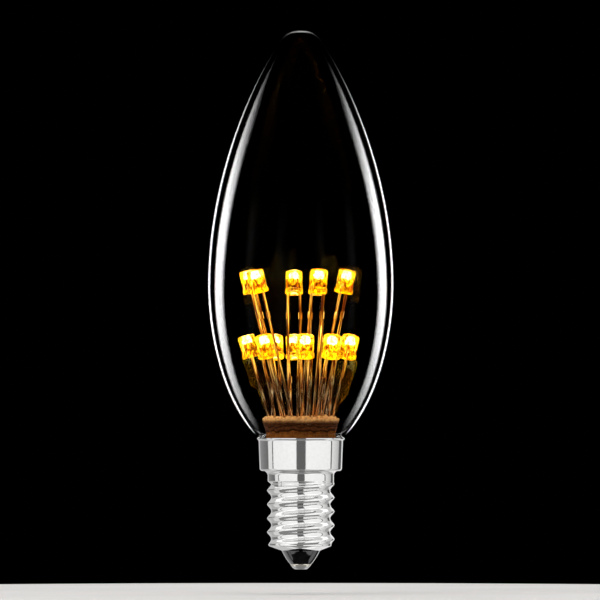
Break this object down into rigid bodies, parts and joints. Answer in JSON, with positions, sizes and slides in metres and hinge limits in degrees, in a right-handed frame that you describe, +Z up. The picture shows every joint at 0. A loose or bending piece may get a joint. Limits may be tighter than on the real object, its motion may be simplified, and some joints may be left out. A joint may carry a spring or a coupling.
{
  "type": "led candle bulb",
  "caption": "Clear candle-shaped lamp on a small screw cap, lit by two tiers of flat-topped amber diodes on long leads that fan out from a brown carrier in the neck.",
  "frame": {"origin": "centre of the flat of the tip contact, on the lamp's axis", "axes": "+Z up the lamp's axis to the tip of the glass, -Y to the front, +X to the right"},
  "size_m": [0.038, 0.038, 0.1095],
  "materials": {
    "clear_glass": "clear blown glass, smooth and glossy",
    "cap_metal": "bright pressed sheet, lightly drawn round the skirt",
    "black_vitrite": "glossy black moulded glass",
    "eyelet_brass": "plain brass",
    "solder": "satin tin solder",
    "cement": "matt baked cement",
    "carrier_resin": "matt brown moulding with darker bands",
    "board_laminate": "brown paper laminate",
    "glue": "rough cream glue",
    "diode_chip": "lit chip",
    "driver_laminate": "green solder mask",
    "film_red": "dipped red epoxy",
    "can_sleeve": "dark shrink sleeve",
    "moulding_black": "black moulding compound",
    "resistor_blue": "blue lacquer",
    "tinned_wire": "tinned copper wire",
    "wire_red": "soft insulation",
    "diode_epoxy": "clear amber epoxy, lit",
    "tinned_leads": "tinned steel leads, warm in the diodes' light"
  },
  "bodies": {
    "root": {"glass_envelope": "clear_glass", "screw_shell": "cap_metal", "cap_insulator": "black_vitrite", "contact_eyelet": "eyelet_brass", "tip_solder": "solder", "capping_cement": "cement", "carrier_plug": "carrier_resin", "diode_board": "board_laminate", "lead_glue": "glue", "lead_solder": "solder", "diode_chips": "diode_chip", "driver_board": "driver_laminate", "film_capacitor": "film_red", "smoothing_capacitor": "can_sleeve", "bridge_rectifier": "moulding_black", "fusible_resistor": "resistor_blue", "live_wire": "tinned_wire", "shell_wire": "tinned_wire", "shell_solder": "solder", "diode_wires": "wire_red", "upper_diode_1": "diode_epoxy", "upper_diode_2": "diode_epoxy", "upper_diode_3": "diode_epoxy", "upper_diode_4": "diode_epoxy", "upper_diode_5": "diode_epoxy", "upper_diode_6": "diode_epoxy", "lower_diode_1": "diode_epoxy", "lower_diode_2": "diode_epoxy", "lower_diode_3": "diode_epoxy", "lower_diode_4": "diode_epoxy", "lower_diode_5": "diode_epoxy", "lower_diode_6": "diode_epoxy", "lower_diode_7": "diode_epoxy", "lower_diode_8": "diode_epoxy", "upper_leads_1": "tinned_leads", "upper_leads_2": "tinned_leads", "upper_leads_3": "tinned_leads", "upper_leads_4": "tinned_leads", "upper_leads_5": "tinned_leads", "upper_leads_6": "tinned_leads", "lower_leads_1": "tinned_leads", "lower_leads_2": "tinned_leads", "lower_leads_3": "tinned_leads", "lower_leads_4": "tinned_leads", "lower_leads_5": "tinned_leads", "lower_leads_6": "tinned_leads", "lower_leads_7": "tinned_leads", "lower_leads_8": "tinned_leads"}
  },
  "joints": []
}
